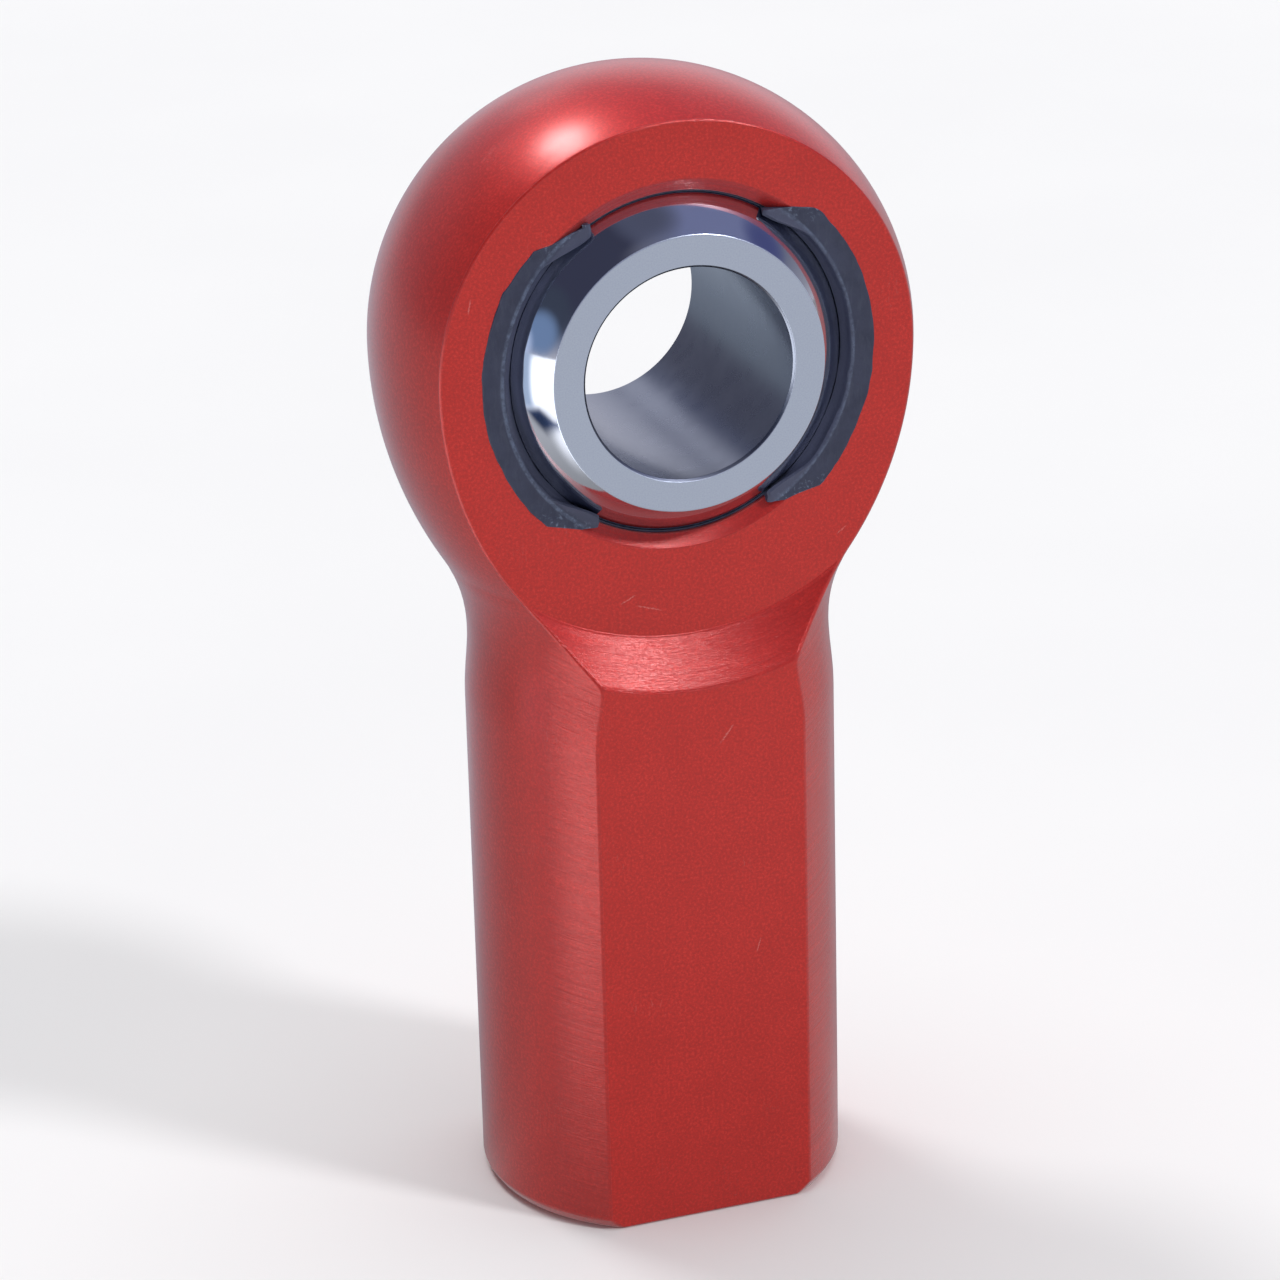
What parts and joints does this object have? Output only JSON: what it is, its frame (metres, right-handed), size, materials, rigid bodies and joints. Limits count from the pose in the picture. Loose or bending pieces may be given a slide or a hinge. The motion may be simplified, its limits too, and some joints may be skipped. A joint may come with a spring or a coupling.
{
  "type": "rod end bearing",
  "caption": "Female-thread rod end: ball-shaped head on a threaded shank with two wrench flats, holding a bored steel ball that swivels in a moulded race.",
  "frame": {"origin": "centre of the ball", "axes": "+Z away from the shank, +Y along the ball's bore at rest towards the head's back face, +X to the right when the slotted front face is seen"},
  "size_m": [0.0322, 0.0182, 0.0701],
  "materials": {
    "red_anodised": "satin",
    "chromed_steel": "polished",
    "filled_nylon": "matte",
    "grease": "gloss"
  },
  "bodies": {
    "housing": {"rod_body": "red_anodised", "moulded_race": "filled_nylon"},
    "tilt_layer": {"grease_film_outer": "grease"},
    "swing_layer": {"grease_film_inner": "grease"},
    "ball": {"swivel_ball": "chromed_steel"}
  },
  "joints": [
    {"name": "ball_tilt", "type": "hinge", "parent": "housing", "child": "tilt_layer", "pos_m": [0, 0, 0], "axis": [1, 0, 0], "range_deg": [-7, 7]},
    {"name": "ball_swing", "type": "hinge", "parent": "tilt_layer", "child": "swing_layer", "pos_m": [0, 0, 0], "axis": [0, 0, 1], "range_deg": [-7, 7]},
    {"name": "ball_spin", "type": "hinge", "parent": "swing_layer", "child": "ball", "pos_m": [0, 0, 0], "axis": [0, 1, 0], "continuous": true}
  ]
}
